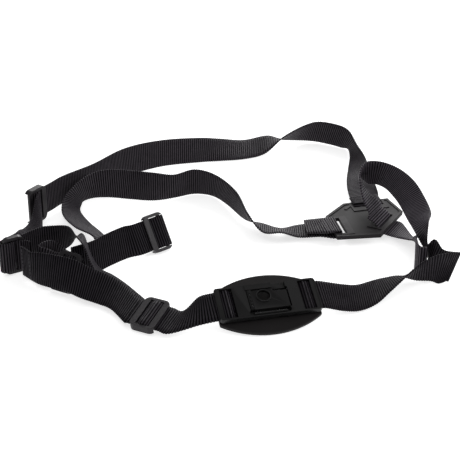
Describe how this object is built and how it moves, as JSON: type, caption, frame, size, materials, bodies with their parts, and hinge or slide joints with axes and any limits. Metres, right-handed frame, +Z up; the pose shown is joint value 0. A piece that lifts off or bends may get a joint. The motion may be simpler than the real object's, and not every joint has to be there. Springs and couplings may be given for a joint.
{
  "type": "avalanche transceiver carrying harness",
  "caption": "Webbing carrying harness with a moulded chest dock on an oval pad, slotted back plate, strap sliders and side ring.",
  "frame": {"origin": "on the ground under the middle of the harness as it lies", "axes": "+Z up, chest dock towards -Y, side ring towards -X, back plate towards +X"},
  "size_m": [0.3511, 0.3403, 0.0482],
  "materials": {
    "webbing": "ribbed woven, matt",
    "dock_plastic": "satin",
    "pad_foam": "matt",
    "thread": "polyester sewing thread",
    "slider_plastic": "satin"
  },
  "bodies": {
    "harness": {"dock_plate": "dock_plastic", "back_pad": "pad_foam", "pad_posts": "pad_foam", "chest_strap_left": "webbing", "adjuster_strap": "webbing", "chest_strap_right": "webbing", "side_strap": "webbing", "shoulder_strap_rear": "webbing", "shoulder_strap_front": "webbing", "link_strap": "webbing", "end_strap": "webbing", "side_ring": "slider_plastic", "back_plate": "slider_plastic", "front_tail_stitches": "thread", "rear_tail_stitches": "thread", "ring_loop_stitches": "thread"},
    "catch_tongue": {"catch_tongue": "dock_plastic"},
    "chest_slider": {"chest_slider": "slider_plastic"},
    "shoulder_slider": {"shoulder_slider": "slider_plastic"},
    "middle_slider": {"middle_slider": "slider_plastic"},
    "end_slider": {"end_slider": "slider_plastic"}
  },
  "joints": [
    {"name": "catch_tongue_flex", "type": "hinge", "parent": "harness", "child": "catch_tongue", "pos_m": [0.04147, -0.13983, 0.01744], "axis": [-0.2086, 0.9034, 0.3746], "range_deg": [-2.5, 4], "stiffness_Nm_per_rad": 0.4},
    {"name": "chest_slider_slide", "type": "slide", "parent": "harness", "child": "chest_slider", "axis": [0.9023, -0.4311, 0], "range_m": [0, 0.0045]},
    {"name": "shoulder_slider_slide", "type": "slide", "parent": "harness", "child": "shoulder_slider", "axis": [0.5593, 0.829, 0], "range_m": [0, 0.012]},
    {"name": "middle_slider_slide", "type": "slide", "parent": "harness", "child": "middle_slider", "axis": [0.8795, -0.476, 0], "range_m": [0, 0.004]},
    {"name": "end_slider_tilt", "type": "hinge", "parent": "harness", "child": "end_slider", "pos_m": [-0.05364, -0.03142, 0.01343], "axis": [-0.3356, 0.4222, 0.8421], "range_deg": [0, 15]}
  ]
}
